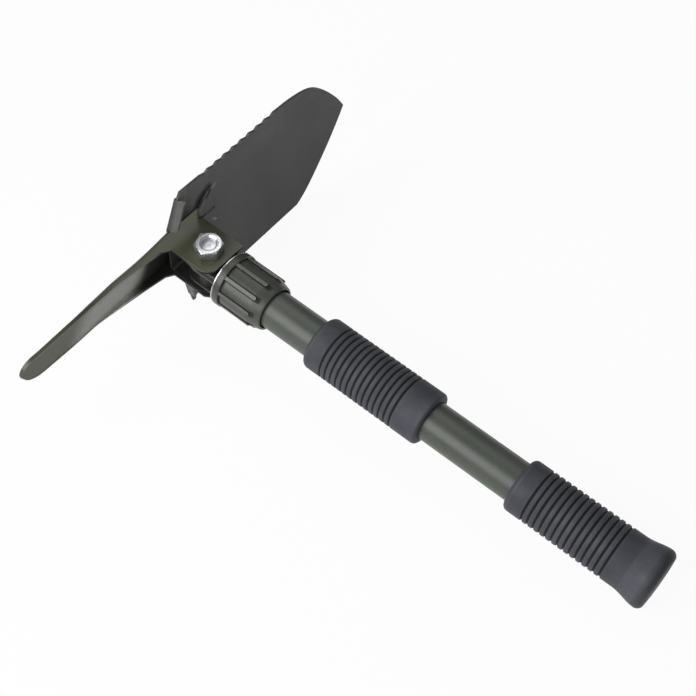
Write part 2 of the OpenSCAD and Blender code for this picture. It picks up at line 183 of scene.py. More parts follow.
def band(tree, value, rise, fall, origin=0.0, smooth=False):
    """Mask of a range that grows between one pair of places and fades between the other one."""
    return times(tree, ramp(tree, value, *rise, origin, smooth), ramp(tree, value, *fall, origin, smooth))


def bumped(tree, strength, distance, height):
    """Normal of a fine relief."""
    return add(tree, "ShaderNodeBump",
               {"Strength": strength, "Distance": distance, "Height": height}).outputs["Normal"]


def axes(tree, place):
    """The X, Y and Z of a place."""
    return tuple(add(tree, "ShaderNodeSeparateXYZ", {"Vector": place}).outputs)


def off_axis(tree, y, z):
    """Distance from the middle line of the handle."""
    squares = [maths(tree, "POWER", value, 2.0) for value in (y, z)]
    return maths(tree, "POWER", maths(tree, "ADD", *squares), 0.5)


def start_group(name, inputs, outputs):
    """Returns a new node group and the values that come in. Its first input is the place.

    The other inputs are (name, kind, default) or (name, kind), the outputs (name, kind).
    """
    group = bpy.data.node_groups.new(name, "ShaderNodeTree")
    sockets = [("INPUT", *socket) for socket in [("Vector", "Vector")] + inputs]
    sockets += [("OUTPUT", *socket) for socket in outputs]
    for direction, title, kind, *default in sockets:
        socket = group.interface.new_socket(title, in_out=direction, socket_type="NodeSocket" + kind)
        if default:
            socket.default_value = default[0]
    return group, add(group, "NodeGroupInput").outputs


def paint_group(name):
    """Uneven tone and roughness of sprayed paint, and its fine orange peel."""
    group, given = start_group(
        name, [("Colour", "Color", WHITE), ("Unevenness", "Float", 0.2), ("Peel", "Float", 0.1)],
        [("Colour", "Color"), ("Tone", "Float"), ("Normal", "Vector")])
    place, uneven = given["Vector"], given["Unevenness"]
    broad = noise(group, place, 38.0, 3.0)
    small = noise(group, place, 420.0, 5.0, 0.6)
    specks = noise(group, place, 2600.0, 2.0)
    tone = maths(group, "ADD", times(group, broad, 0.55), times(group, small, 0.45))
    spread = mapped(group, tone, 0.35, 0.65)
    darker = toned(group, given["Colour"], maths(group, "SUBTRACT", 1.0, uneven), 1.12)
    lighter = toned(group, given["Colour"], maths(group, "ADD", 1.0, uneven), 0.9)
    height = maths(group, "ADD", times(group, small, 0.7), times(group, specks, 0.3))
    add(group, "NodeGroupOutput", {"Colour": mixed(group, spread, darker, lighter), "Tone": spread,
                                   "Normal": bumped(group, given["Peel"], 0.2 * MM, height)})
    return group


def wear_group(name):
    """Masks of the paint that is rubbed off: along the edges, and in a few fine scratches."""
    group, given = start_group(name, [("Edge", "Float", 0.0), ("Amount", "Float", 0.3)],
                               [("Edge", "Float"), ("Scratches", "Float")])
    place, amount = given["Vector"], given["Amount"]
    patches = noise(group, place, 160.0, 5.0, 0.65)
    level = maths(group, "SUBTRACT", 1.0, amount)
    rubbed = mapped(group, maths(group, "SUBTRACT", patches, times(group, level, 0.5)), 0.1, 0.3)
    stretched = add(group, "ShaderNodeMapping", {"Vector": place, "Rotation": (0.3, 0.5, 0.7),
                                                 "Scale": (0.12, 1.0, 1.0)}).outputs[0]
    lines = noise(group, stretched, 2400.0, 2.0, 0.5)
    sparse = noise(group, place, 55.0, 2.0)
    scratches = times(group, mapped(group, lines, 0.69, 0.74), mapped(group, sparse, 0.52, 0.64), amount)
    add(group, "NodeGroupOutput", {"Edge": times(group, rubbed, given["Edge"]), "Scratches": scratches})
    return group


def grain_group(name):
    """Fine grain of moulded rubber, with a dull bloom."""
    group, given = start_group(name, [("Colour", "Color", WHITE), ("Grain", "Float", 0.3)],
                               [("Colour", "Color"), ("Roughness", "Float"), ("Normal", "Vector")])
    place, base = given["Vector"], given["Colour"]
    fine = noise(group, place, 2200.0, 3.0, 0.6)
    bloom = noise(group, place, 70.0, 4.0, 0.6)
    pale = mapped(group, bloom, 0.4, 0.72)
    add(group, "NodeGroupOutput", {"Colour": shaded(group, base, pale, 1.35, 0.75),
                                   "Roughness": mapped(group, bloom, 0.3, 0.7, 0.70, 0.58),
                                   "Normal": bumped(group, given["Grain"], 0.1 * MM, fine)})
    return group


def metal_group(name):
    """Crystals of zinc plating or the turned grain of steel."""
    group, given = start_group(
        name, [("Colour", "Color", WHITE), ("Grain", "Float", 0.2), ("Roughness", "Float", 0.25)],
        [("Colour", "Color"), ("Roughness", "Float"), ("Normal", "Vector")])
    place, base = given["Vector"], given["Colour"]
    crystals = add(group, "ShaderNodeTexVoronoi",
                   {"Vector": place, "Scale": 900.0, "Randomness": 1.0}).outputs["Distance"]
    clouds = noise(group, place, 260.0, 4.0, 0.6)
    tone = mapped(group, clouds, 0.35, 0.65)
    rough = maths(group, "ADD", given["Roughness"], mapped(group, crystals, 0.0, 0.8, -0.05, 0.10))
    add(group, "NodeGroupOutput", {"Colour": mixed(group, tone, toned(group, base, 0.86, 0.8), base),
                                   "Roughness": rough,
                                   "Normal": bumped(group, given["Grain"], 0.05 * MM, crystals)})
    return group


def line_group(name):
    """Soft mask round a straight line between two points."""
    group, given = start_group(name, [("Start", "Vector"), ("End", "Vector"), ("Width", "Float", 0.001)],
                               [("Mask", "Float")])

    def vectors(operation, a, b, output="Vector"):
        return add(group, "ShaderNodeVectorMath", {0: a, 1: b}, operation=operation).outputs[output]

    along = vectors("SUBTRACT", given["End"], given["Start"])
    offset = vectors("SUBTRACT", given["Vector"], given["Start"])
    part = maths(group, "DIVIDE", vectors("DOT_PRODUCT", offset, along, "Value"),
                 vectors("DOT_PRODUCT", along, along, "Value"), clamp=True)
    nearest = add(group, "ShaderNodeVectorMath", {0: along, "Scale": part}, operation="SCALE").outputs[0]
    away = vectors("DISTANCE", offset, nearest, "Value")
    inner = times(group, given["Width"], 0.6)
    add(group, "NodeGroupOutput", {"Mask": mapped(group, away, given["Width"], inner, smooth=True)})
    return group


def use_group(tree, name, build, place, **inputs):
    """Adds the node group of that name, which is made once, and returns what it puts out."""
    group = bpy.data.node_groups.get(name) or build(name)
    return add(tree, "ShaderNodeGroup", {"Vector": place, **inputs}, node_tree=group).outputs


def line_mask(tree, place, start, end, width):
    """Mask of a line between two points given from the pivot, all in millimetres."""
    return use_group(tree, "Line mask", line_group, place, Start=PIVOT + Vector(start) * MM,
                     End=PIVOT + Vector(end) * MM, Width=width * MM)["Mask"]


def cleared(owner):
    """The node tree of a material or a world, with nothing in it."""
    owner.use_nodes = True
    owner.node_tree.nodes.clear()
    return owner.node_tree


def new_material(name):
    """A new material, its node tree, its shader and its object coordinates."""
    material = bpy.data.materials.new(name)
    material.use_nodes = True
    tree = material.node_tree
    shader = next(n for n in tree.nodes if n.type == "BSDF_PRINCIPLED")
    place = add(tree, "ShaderNodeTexCoord").outputs["Object"]
    return material, tree, shader, place


def rounded_edge_mask(tree):
    """The rounded edges of a mesh, as a mask."""
    return add(tree, "ShaderNodeAttribute", attribute_name=EDGE_WEAR_AND_HIGHLIGHT).outputs["Fac"]


# shares: pale rounded edges, which are thin paint with a painted edge highlight, pale scratches, bare steel
# and its metallic look
THIN_PAINT_AND_HIGHLIGHT_SHARE, SCRATCH_SHARE, BARE_SHARE, METAL_SHARE = 0.45, 0.8, 0.45, 0.8
BARE_STEEL = (0.34, 0.35, 0.34, 1)


def painted(name, paint, roughness, unevenness, peel, specular=0.5, tint=None):
    """Satin paint on steel.

    tint(tree, place, colour) returns the colour of the painted parts, with any painted light and shade, and a
    mask of where the painted shade is, which is made dull.
    """
    material, tree, shader, place = new_material(name)
    coat = use_group(tree, "Sprayed paint", paint_group, place,
                     Colour=(*paint, 1), Unevenness=unevenness, Peel=peel)
    edge = rounded_edge_mask(tree)
    worn = use_group(tree, "Worn edges", wear_group, place, Edge=edge,
                     Amount=bpy.context.scene.camp_shovel_colours.wear)
    body, dull = tint(tree, place, coat["Colour"]) if tint else (coat["Colour"], None)
    pale = toned(tree, body, 2.4, 0.7)
    # pale rounded edges: thin paint together with a painted edge highlight
    body = mixed(tree, times(tree, edge, THIN_PAINT_AND_HIGHLIGHT_SHARE), body, pale)
    body = mixed(tree, times(tree, worn["Scratches"], SCRATCH_SHARE), body, pale)
    metal = times(tree, worn["Edge"], BARE_SHARE)
    rough = mapped(tree, coat["Tone"], 0.0, 1.0, roughness - 0.05, roughness + 0.06)
    if dull:
        rough = maths(tree, "MAXIMUM", rough, dull)
    connect(tree, shader, {"Base Color": mixed(tree, metal, body, BARE_STEEL), "Roughness": rough,
                           "Metallic": times(tree, metal, METAL_SHARE), "Normal": coat["Normal"],
                           "Specular IOR Level": specular})
    return material


def bare_metal(name, base, roughness, grain):
    """Plated or bare steel."""
    material, tree, shader, place = new_material(name)
    metal = use_group(tree, "Metal grain", metal_group, place,
                      Colour=(*base, 1), Grain=grain, Roughness=roughness)
    connect(tree, shader, {"Base Color": metal["Colour"], "Roughness": metal["Roughness"],
                           "Normal": metal["Normal"], "Metallic": 1.0})
    return material


def rubber(name, base, crown, first, last):
    """Blue-black rubber, paler along its ridges, with a painted highlight on the end face of the butt,
    painted shade round its rim, and painted shade in its grooves.

    crown is the radius of the ridges. first and last are the places between which the grooves lie.
    """
    material, tree, shader, place = new_material(name)
    grain = use_group(tree, "Rubber grain", grain_group, place, Colour=(*base, 1), Grain=0.35)
    x, y, z = axes(tree, place)
    # painted shade in the grooves, which are also made rough
    floors = band(tree, off_axis(tree, y, z), (crown - 0.28, crown - 0.60), (crown - 1.6, crown - 1.3))
    grooves = times(tree, floors, band(tree, x, (-last - 0.5, -last + 0.5), (-first + 0.5, -first - 0.5),
                                       PIVOT.x))
    # painted shade round the rim of the butt and a painted highlight on its end face
    rim, face = band(tree, x, (0.0, 1.6), (5.2, 3.0)), ramp(tree, x, 0.9, 0.4)
    body = shaded(tree, grain["Colour"], times(tree, rounded_edge_mask(tree), 0.5), 1.5, 1.0)
    body = shaded(tree, shaded(tree, body, rim, 0.55), face, 1.35)
    connect(tree, shader, {
        "Base Color": shaded(tree, body, grooves, 0.12), "Normal": grain["Normal"],
        "Roughness": maths(tree, "MAXIMUM", grain["Roughness"], times(tree, grooves, 0.9)),
        "Specular IOR Level": 0.45})
    return material


# ---------- meshes ----------

def weighted_normals(mesh, sharp=radians(50)):
    """Smooth normals that follow the large faces, so that flats stay flat beside their rounded edges."""
    mesh.shade_smooth()
    normals = [Vector(p.normal) for p in mesh.polygons]
    areas = [p.area for p in mesh.polygons]
    around = [[] for _ in mesh.vertices]
    for polygon in mesh.polygons:
        for vertex in polygon.vertices:
            around[vertex].append(polygon.index)
    limit = cos(sharp)
    corners = []
    for polygon in mesh.polygons:
        own = normals[polygon.index]
        for vertex in polygon.vertices:
            near = [f for f in around[vertex] if normals[f].dot(own) > limit]
            total = sum((normals[f] * areas[f] for f in near), Vector())
            corners.append(total.normalized() if total.length > 0 else own)
    mesh.normals_split_custom_set(corners)


def outward(bm):
    """Turns all faces outward."""
    bmesh.ops.recalc_face_normals(bm, faces=bm.faces)


def linked(name, data):
    """A new object in the scene."""
    piece = bpy.data.objects.new(name, data)
    bpy.context.scene.collection.objects.link(piece)
    return piece


def finish_piece(name, bm, material, body, nodes):
    """Makes the object from the mesh, sets the body it rides on, and hides the CAD nodes it stands for."""
    outward(bm)
    mesh = bpy.data.meshes.new(name)
    bm.to_mesh(mesh)
    bm.free()
    if EDGE_WEAR_AND_HIGHLIGHT not in mesh.attributes:
        mesh.attributes.new(EDGE_WEAR_AND_HIGHLIGHT, "FLOAT", "FACE")
    weighted_normals(mesh)
    mesh.materials.append(material)
    piece = linked(name, mesh)
    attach(piece, body)
    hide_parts(*nodes)


def cad_copy(node):
    """A copy of a CAD node's mesh with its doubles merged and its flat faces joined."""
    bm = bmesh.new()
    bm.from_mesh(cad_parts[node].data)
    bmesh.ops.remove_doubles(bm, verts=bm.verts, dist=SAME)
    bmesh.ops.dissolve_limit(bm, angle_limit=radians(0.2), verts=bm.verts, edges=bm.edges)
    outward(bm)
    return bm


def round_edges(bm, edges, radius, segments=3):
    """Rounds these edges, and marks the rounded faces for edge wear and a painted edge highlight."""
    layer = bm.faces.layers.float.get(EDGE_WEAR_AND_HIGHLIGHT) or bm.faces.layers.float.new(EDGE_WEAR_AND_HIGHLIGHT)
    made = bmesh.ops.bevel(bm, geom=edges, offset=radius, offset_type="OFFSET", segments=segments,
                           profile=0.5, affect="EDGES", clamp_overlap=True, material=-1)
    for face in made["faces"]:
        face[layer] = 1.0


def sharp_edges(bm, angle=40):
    """The edges where two faces meet at more than that many degrees."""
    return [e for e in bm.edges if len(e.link_faces) == 2 and e.calc_face_angle() > radians(angle)]


def turned(bm, outline, steps=96):
    """Turns an outline of [distance from the pivot, radius], in millimetres, round the handle."""
    verts = [bm.verts.new((PIVOT.x - at * MM, 0, radius * MM)) for at, radius in outline]
    edges = [bm.edges.new(pair) for pair in zip(verts, verts[1:])]
    if outline[0][1] > 0 and outline[-1][1] > 0:
        edges.append(bm.edges.new((verts[-1], verts[0])))
    bmesh.ops.spin(bm, geom=verts + edges, cent=(0, 0, 0), axis=(1, 0, 0), angle=tau, steps=steps,
                   use_merge=True)
    bmesh.ops.remove_doubles(bm, verts=bm.verts, dist=SAME)
    outward(bm)


def lofted(bm, rows, ring=False):
    """Extrudes the first row of points along the others, and returns the rows of vertices."""
    def pairs(verts):
        return list(zip(verts, verts[1:] + verts[:1] if ring else verts[1:]))

    row = [bm.verts.new(point) for point in rows[0]]
    for pair in pairs(row):
        bm.edges.new(pair)
    made = [row]
    for points in rows[1:]:
        edges = [bm.edges.get(pair) for pair in pairs(row)]
        new = set(bmesh.ops.extrude_edge_only(bm, edges=edges)["geom"])
        row = [next(e.other_vert(v) for e in v.link_edges if e.other_vert(v) in new) for v in row]
        for vert, point in zip(row, points):
            vert.co = point
        made.append(row)
    return made


def spot(x, y, z):
    """A point given from the pivot in millimetres."""
    return Vector((PIVOT.x + x * MM, y * MM, z * MM))


def arc(centre, radius, start, end, steps=5):
    """Points of an arc round [distance, radius], with its angles in degrees from the axis."""
    angles = [radians(start + (end - start) * i / steps) for i in range(steps + 1)]
    return [(centre[0] + radius * cos(a), centre[1] + radius * sin(a)) for a in angles]


def lengthwise(node):
    """Front and rear of a round node behind the pivot, and its radius, in millimetres."""
    low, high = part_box(node)
    return (PIVOT.x - high.x) / MM, (PIVOT.x - low.x) / MM, high.z / MM


def upright(node):
    """Bottom and top of a node on the bolt, in millimetres."""
    low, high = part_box(node)
    return low.z / MM, high.z / MM


def table(points, at):
    """Value at a place, on the straight lines between the points of a table of (place, value)."""
    if at <= points[0][0]:
        return points[0][1]
    for (x0, y0), (x1, y1) in zip(points, points[1:]):
        if at <= x1:
            return y0 + (y1 - y0) * (at - x0) / (x1 - x0)
    return points[-1][1]


# ---------- blade ----------

# lines of painted shade and painted highlight on the face of the blade: two ends as (along the blade,
# across), half width and tone (below 1 painted shade, above 1 painted highlight)
BLADE_SHADE_AND_HIGHLIGHT_LINES = [
    ((9.0, 21.0), (-10.6, 21.0), 1.7, 0.20),
    ((-10.6, 22.4), (-13.0, 26.6), 5.0, 0.62),
    ((-13.0, 26.6), (-18.0, 30.2), 4.4, 0.62),
    ((-10.4, 21.4), (-12.6, 25.6), 2.1, 0.10),
    ((-12.6, 25.6), (-15.6, 28.0), 2.0, 0.10),
    ((-15.6, 28.0), (-19.2, 29.6), 1.6, 0.12),
    ((-19.9, 26.0), (-17.0, 22.5), 1.1, 0.20),
    ((-19.6, 31.0), (-22.6, 31.0), 0.7, 2.1),
    ((-22.6, 31.0), (-26.6, 28.0), 0.7, 1.9),
    ((-12.6, 16.4), (-14.9, 19.4), 0.8, 2.0),
    ((-14.9, 19.4), (-16.6, 23.2), 0.7, 2.2),
    ((-16.6, 23.2), (-18.4, 26.6), 0.6, 2.0),
    ((-22.4, 27.0), (-23.0, 27.8), 1.6, 3.2),
    ((-21.4, 1.6), (-22.6, 0.0), 1.3, 3.6),
    ((-22.6, 0.0), (-27.0, -2.6), 0.7, 1.7),
]
# how far the face lies from the pivot there
LINE_DEPTH = 16.9


def blade_tint(tree, place, base):
    """The face is streaked and given a painted highlight along the saw edge, is a little paler near the neck,
    and has lines of painted shade and painted highlight beside the neck.
    """
    x, y, z = axes(tree, place)
    stretched = add(tree, "ShaderNodeMapping", {"Vector": place, "Scale": (1.0, 0.12, 1.0)}).outputs[0]
    # paler streaks toward the saw edge: streaky paint tone and a painted highlight band
    streaks = mapped(tree, noise(tree, stretched, 150.0, 3.0), 0.42, 0.68)
    saw_streaks_and_highlight = times(tree, ramp(tree, z, 12, 40, smooth=True), streaks, 0.5)
    root = times(tree, ramp(tree, y, -75, -30, smooth=True), 0.16)
    body = shaded(tree, base, maths(tree, "ADD", saw_streaks_and_highlight, root), 1.8)
    # painted shade on the ears, between the walls of the pick, which is also made dull
    dull = times(tree, ramp(tree, x, 15.8, 15.0, PIVOT.x), band(tree, z, (-9.6, -9.0), (8.8, 8.2)))
    body = shaded(tree, body, dull, 0.15)
    # the treads catch the light
    treads = times(tree, ramp(tree, x, 16.8, 15.0, PIVOT.x), ramp(tree, y, -4, -2))
    body = shaded(tree, body, treads, 2.1, 0.7)
    # lines of painted shade, which are also made dull, and lines of painted highlight
    for start, end, width, value in BLADE_SHADE_AND_HIGHLIGHT_LINES:
        mask = line_mask(tree, place, (LINE_DEPTH, *start), (LINE_DEPTH, *end), width)
        body = shaded(tree, body, mask, value, 0.8)
        if value < 1:
            dull = maths(tree, "MAXIMUM", dull, times(tree, mask, 1.0 - 0.45 * value))
    return body, dull


# treads: how far from the middle plane they and their folds begin, in metres
TREAD_START = 22 * MM
FOLD_START = 24 * MM


def lean_tread(bm, lean):
    """Leans the free edge of the tread on the saw side toward the tip, and returns where that edge is."""
    top = min(v.co.x for v in bm.verts if abs(v.co.z) > TREAD_START and v.co.y > -2 * MM)
    for vert in bm.verts:
        if vert.co.x < top + LEVEL and vert.co.z > TREAD_START:
            vert.co.y -= lean
    return top


# relief of the plain side beside its tread: place along the blade and depth, in millimetres
SIDE_RELIEF = [(-1.8, 0.0), (-2.1, 2.0), (-2.9, 2.8), (-4.4, 2.8), (-6.0, 1.8), (-9.0, 0.0)]


def relieve_side(bm):
    """Sets the plain side in a little beside its tread, so that the corner stands out."""
    for at, _ in SIDE_RELIEF:
        half = [f for f in bm.faces if f.calc_center_median().z < -20 * MM]
        geom = half + list({e for f in half for e in f.edges}) + list({v for f in half for v in f.verts})
        bmesh.ops.bisect_plane(bm, geom=geom, dist=SAME, plane_co=(0, at * MM, 0), plane_no=(0, 1, 0))
    for vert in bm.verts:
        if vert.co.z < -44 * MM and vert.co.y < SIDE_RELIEF[0][0] * MM:
            vert.co.z += table(SIDE_RELIEF[::-1], vert.co.y / MM) * MM


def make_blade(sizes, colours):
    """Dished blade with treads, saw edge and ears: every cut edge rounded, the tread folds softer."""
    bm = cad_copy("blade")
    back = max(v.co.x for v in bm.verts if v.co.z > 30 * MM and v.co.y > 2 * MM)
    top = lean_tread(bm, sizes.tread_lean)
    relieve_side(bm)
    bends = sharp_edges(bm, 25)
    folds = [e for e in bends
             if all(abs(v.co.x - back) < LEVEL and abs(v.co.z) > FOLD_START for v in e.verts)
             and any(f.normal.y > 0.7 for f in e.link_faces)]
    corners = [e for e in bends if e.calc_length() < 1.5 * MM
               and all(v.co.x < top + LEVEL and abs(v.co.z) > TREAD_START for v in e.verts)]
    round_edges(bm, corners, sizes.tread_corner, 5)
    round_edges(bm, folds, sizes.tread_fold, 4)
    round_edges(bm, sharp_edges(bm), sizes.edge_radius, 2)
    paint = painted("blade_paint", colours.blade, 0.52, 0.10, 0.10, specular=0.30, tint=blade_tint)
    finish_piece("blade_sheet", bm, paint, "blade", ["blade"])


# ---------- pick ----------

# outer face, free edge and half width along the pick, as (distance from the pivot, millimetres)
PICK_BACK = [(-18, 24.0), (4, 24.0), (20, 23.5), (28, 23.4), (45, 24.0), (62, 23.8), (75, 23.2), (96, 23.1),
             (108, 23.8)]
PICK_EDGE = [(-17.3, 21.6), (-16.0, 19.9), (-14.5, 18.3), (-12.9, 16.9), (15.9, 16.9), (28, 18.85),
             (45, 21.0), (62, 22.3), (75, 22.6), (96, 22.75), (108, 23.7)]
PICK_WIDTH = [(-18, 11.15), (20, 11.15), (28, 11.15), (45, 10.95), (62, 9.8), (75, 9.05), (96.4, 8.0)]
PICK_REACH = 107.4
TIP_LENGTH = 11.0
# ends of the ears along the pick, and the sections of the pick up to there
EAR_LOW, EAR_HIGH = -12.9, 15.9
EAR_STATIONS = [-17.3, -16.0, -14.5, EAR_LOW, -9, -4.5, 0, 4.5, 9, 12.5, EAR_HIGH]


def pick_tint(tree, place, base):
    """Painted shade makes the channel black at its root, and a painted sheen lightens it further out."""
    x, y, z = axes(tree, place)
    inside = times(tree, ramp(tree, maths(tree, "ABSOLUTE", z), 10.6, 10.2),
                   ramp(tree, x, 23.1, 22.7, PIVOT.x))
    along = maths(tree, "ADD", y, times(tree, z, 0.6))
    # painted shade at the root of the channel, also made dull, and a painted sheen further out
    painted_root_shade = times(tree, inside, ramp(tree, along, 32, 20, smooth=True))
    painted_sheen = times(tree, inside, band(tree, along, (20, 36), (78, 60), smooth=True),
                  ramp(tree, z, 9.5, 3, smooth=True))
    body = shaded(tree, shaded(tree, base, painted_root_shade, 0.12, 0.6), painted_sheen, 5.2, 0.2)
    return body, times(tree, painted_root_shade, 0.95)


def pick_section(at, fold, count=18):
    """Outer surface of the pick at one distance, from free edge to free edge, as points in the row frame."""
    back = table(PICK_BACK, at)
    if at > PICK_REACH - TIP_LENGTH:
        k = min(1.0, (at - PICK_REACH + TIP_LENGTH) / TIP_LENGTH)
        width = PICK_WIDTH[-1][1] * sqrt(max(1 - k * k, 0.0))
    else:
        width = table(PICK_WIDTH, at)
    height = back - table(PICK_EDGE, at)
    bend = min(90.0, degrees(acos(max(-1.0, 1 - height / fold)))) if height < fold else 90.0
    wall = max(0.0, height - fold)
    flat = max(0.0, width - fold * sin(radians(bend)))
    curve = fold * radians(bend)
    half = []
    for i in range(count + 1):
        s = (flat + curve + wall) * i / count
        if s <= flat:
            half.append((back, s))
        elif wall == 0 or s <= flat + curve:
            a = (s - flat) / fold
            half.append((back - fold * (1 - cos(a)), flat + fold * sin(a)))
        else:
            half.append((back - fold - (s - flat - curve), width))
    points = [(x, -z) for x, z in reversed(half[1:])] + half
    return [spot(x, at, z) for x, z in points]


def ear_outline(side, box):
    """Front of an ear from blade side to pick side, with the rounded corner that passes the collar."""
    front, high, reach = 10.9, 11.9, 13.2
    start = degrees(atan2(sqrt(reach ** 2 - front ** 2), -front))
    end = degrees(atan2(high, -sqrt(reach ** 2 - high ** 2)))
    points = [(-front, EAR_LOW), *arc((0, 0), reach, start, end, 8), (14.4, high)]
    return [spot(x, y, side * box[1].z / MM) for x, y in points]


def make_pick(sizes, colours):
    """Channel-shaped pick: bent sheet with two ears, walls that run out and a rounded tip."""
    bm = bmesh.new()
    fold = sizes.fold_radius / MM
    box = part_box("pick")
    tip = [PICK_REACH - TIP_LENGTH + TIP_LENGTH * sin(radians(a)) for a in range(6, 90, 6)]
    along = [16.5 + 2.0 * i for i in range(40)]
    stations = EAR_STATIONS + [a for a in along if a < tip[0] - 0.8] + tip
    radii = [(-16, 1.0), (4, 1.2), (16, 2.2), (36, fold), (60, fold), (96, 7.0)]
    rows = lofted(bm, [pick_section(at, table(radii, at)) for at in stations])
    # each ear is filled between the ends of the sections, its own outline and the bolt hole
    ears = [i for i, at in enumerate(stations) if EAR_LOW <= at <= EAR_HIGH]
    for side in (-1, 1):
        seam = [rows[i][0 if side < 0 else -1] for i in ears]
        outline = [bm.verts.new(p) for p in ear_outline(side, box)]
        ring = bmesh.ops.create_circle(bm, segments=48, radius=BOLT_HOLE * MM,
                                       matrix=Matrix.Translation((PIVOT.x, 0, side * box[1].z)))["verts"]
        chain = [seam[0]] + outline + [seam[-1]]
        edges = [bm.edges.new(pair) for pair in zip(chain, chain[1:])]
        edges += [bm.edges.get(pair) for pair in zip(seam, seam[1:])]
        edges += list({e for v in ring for e in v.link_edges})
        bmesh.ops.triangle_fill(bm, use_beauty=True, edges=edges, normal=(0, 0, side))
    outward(bm)
    # the thickness goes inward from the outer surface
    back = Vector((box[1].x, 30 * MM, 0))
    middle = min(bm.faces, key=lambda f: (f.calc_center_median() - back).length)
    inward = 1 if middle.normal.x > 0 else -1
    bmesh.ops.solidify(bm, geom=bm.faces[:], thickness=inward * sizes.sheet)
    outward(bm)
    round_edges(bm, sharp_edges(bm, 50), sizes.edge_radius, 2)
    # no edge wear and no painted edge highlight on the flared corners beside the blade
    layer = bm.faces.layers.float[EDGE_WEAR_AND_HIGHLIGHT]
    for face in bm.faces:
        if face.calc_center_median().y < -12.5 * MM:
            face[layer] = 0.0
    paint = painted("pick_paint", colours.pick, 0.36, 0.10, 0.10, tint=pick_tint)
    finish_piece("pick_channel", bm, paint, "pick", ["pick"])


# ---------- pivot ----------

# nut and bolt head across flats, the turn of their hexagons, and the radius of the bolt holes
FLATS = 13.0
HEX_TURN = 43.0
BOLT_HOLE = 4.08


def hex_radius(angle):
    """Radius of the hexagon of nut and bolt toward an angle in degrees."""
    turned_by = (angle - HEX_TURN) % 60 - 30
    return FLATS / 2 / cos(radians(turned_by))


def loop_at(height, radius, segments=48):
    """A ring of points round the bolt, in millimetres.

    The radius may depend on the angle, and the height on the radius.
    """
    points = []
    for i in range(segments):
        angle = HEX_TURN + 360 * i / segments
        r = radius(angle) if callable(radius) else radius
        turn = radians(angle)
        points.append(spot(r * cos(turn), r * sin(turn), height(r) if callable(height) else height))
    return points


def ringed(bm, loops):
    """Joins rings in turn. The last ring may be the first one again."""
    lofted(bm, loops, ring=True)
    bmesh.ops.remove_doubles(bm, verts=bm.verts, dist=SAME)


def make_nut(sizes, colours):
    """Hexagon nut with chamfered corners and a countersunk thread."""
    bottom, top = upright("pivot_nut")
    circle, slope = 0.485 * FLATS, tan(radians(24))
    bm = bmesh.new()
    loops = [
        loop_at(bottom + 0.5, 4.05), loop_at(bottom, 4.5), loop_at(bottom, circle),
        loop_at(lambda r: bottom + (r - circle) * slope, hex_radius),
        loop_at(lambda r: top - 0.12 - (r - circle) * slope, hex_radius),
        loop_at(lambda r: top - 0.03 - (r - circle) * slope * 0.85, lambda a: hex_radius(a) - 0.09),
        loop_at(top - 0.02, circle + 0.06), loop_at(top, circle - 0.12),
        loop_at(top, 4.85), loop_at(top - 0.05, 4.76), loop_at(top - 0.70, 4.05),
    ]
    # a few turns of thread below the countersink
    depth, pitch = top - 0.9, 1.25
    while depth > bottom + 1.2:
        loops += [loop_at(depth, 4.28), loop_at(depth - 0.55, 4.03)]
        depth -= pitch
    ringed(bm, loops + [loops[0]])
    finish_piece("pivot_nut_hex", bm, bare_metal("zinc_nut", colours.zinc, 0.27, 0.05),
                 "handle", ["pivot_nut"])


def make_bolt(sizes, colours):
    """Hexagon bolt: chamfered head below, plain shank, threaded and chamfered end in the nut."""
    bottom, top = upright("pivot_bolt")
    head, shank, thread_root = bottom + 5.3, 3.98, 3.62
    circle, slope = 0.47 * FLATS, tan(radians(27))
    bm = bmesh.new()
    loops = [
        loop_at(bottom + 0.25, 0.4), loop_at(bottom + 0.25, 3.9), loop_at(bottom, 4.4),
        loop_at(bottom, circle),
        loop_at(lambda r: bottom + 0.1 + (r - circle) * slope, hex_radius),
        loop_at(head - 0.35, hex_radius), loop_at(head - 0.25, lambda a: hex_radius(a) - 0.1),
        loop_at(head - 0.2, circle + 0.1), loop_at(head, circle),
        loop_at(head, 4.1), loop_at(head + 0.2, shank),
    ]
    depth, pitch = top - 4.9, 1.0
    loops += [loop_at(depth - 0.2, shank)]
    while depth < top - 1.0:
        loops += [loop_at(depth + 0.3, thread_root), loop_at(depth + 0.75, shank)]
        depth += pitch
    loops += [loop_at(top - 0.45, shank), loop_at(top, 3.35), loop_at(top, 1.2), loop_at(top - 0.12, 0.4)]
    ringed(bm, loops)
    bmesh.ops.holes_fill(bm, edges=[e for e in bm.edges if len(e.link_faces) == 1], sides=0)
    finish_piece("pivot_bolt_hex", bm, bare_metal("zinc_bolt", colours.zinc, 0.32, 0.06),
                 "handle", ["pivot_bolt"])


